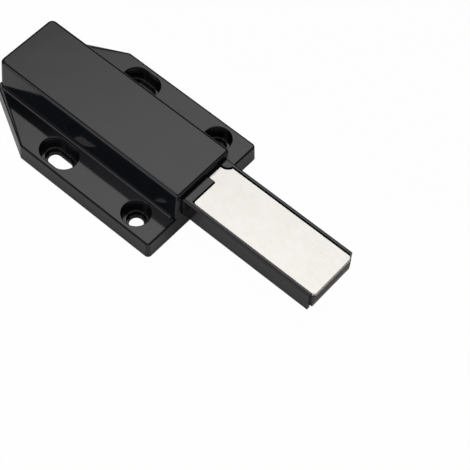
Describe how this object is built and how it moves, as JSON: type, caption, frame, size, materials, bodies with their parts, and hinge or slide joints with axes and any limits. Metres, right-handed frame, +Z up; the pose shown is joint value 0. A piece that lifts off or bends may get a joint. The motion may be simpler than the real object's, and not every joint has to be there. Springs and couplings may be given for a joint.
{
  "type": "push to open catch",
  "caption": "Push-to-open magnetic catch: black moulded body with side flanges and screw holes, and a spring-loaded sliding tongue faced with steel that holds and pushes a door.",
  "frame": {"origin": "middle of the two front screw holes, on the mounting face", "axes": "+X along the tongue, out of the mouth; +Y towards the far flange; +Z up from the mounting face"},
  "size_m": [0.1249, 0.0498, 0.0181],
  "materials": {
    "housing_black": "gloss moulded",
    "cover_black": "matte moulded",
    "screw_zinc": "bright cold-rolled",
    "tray_black": "gloss moulded",
    "plate_steel": "bright cold-rolled",
    "pole_steel": "bright cold-rolled",
    "magnet_ferrite": "sintered, as ground",
    "acetal_natural": "matte moulded",
    "acetal_grey": "matte moulded",
    "pin_steel": "bright cold-rolled",
    "spring_strip": "bright cold-rolled",
    "rivet_steel": "bright cold-rolled",
    "spring_wire": "bright cold-rolled",
    "rubber_black": "plain"
  },
  "bodies": {
    "housing": {"housing": "housing_black", "base_cover": "cover_black", "cover_screws": "screw_zinc", "follower_pivot": "pin_steel", "follower_spring": "spring_strip", "leaf_rivet": "rivet_steel", "return_spring_near": "spring_wire", "return_spring_far": "spring_wire", "spring_guide_near": "acetal_grey", "spring_guide_far": "acetal_grey", "rear_buffer": "rubber_black", "stop_pad_near": "rubber_black", "stop_pad_far": "rubber_black"},
    "plunger": {"plunger_tray": "tray_black", "face_plate": "plate_steel", "lower_pole_plate": "pole_steel", "magnet": "magnet_ferrite", "heart_cam": "acetal_natural"},
    "follower": {"cam_follower": "acetal_grey", "follower_pin": "pin_steel"}
  },
  "joints": [
    {"name": "plunger_slide", "type": "slide", "parent": "housing", "child": "plunger", "axis": [1, 0, 0], "range_m": [-0.042, 0], "stiffness_N_per_m": 120, "springref_m": 0.03, "deforming": ["return_spring_near", "return_spring_far"]},
    {"name": "follower_swing", "type": "hinge", "parent": "housing", "child": "follower", "pos_m": [-0.0234, 0, 0.005], "axis": [0, 0, 1], "range_deg": [0, 16.3]}
  ]
}
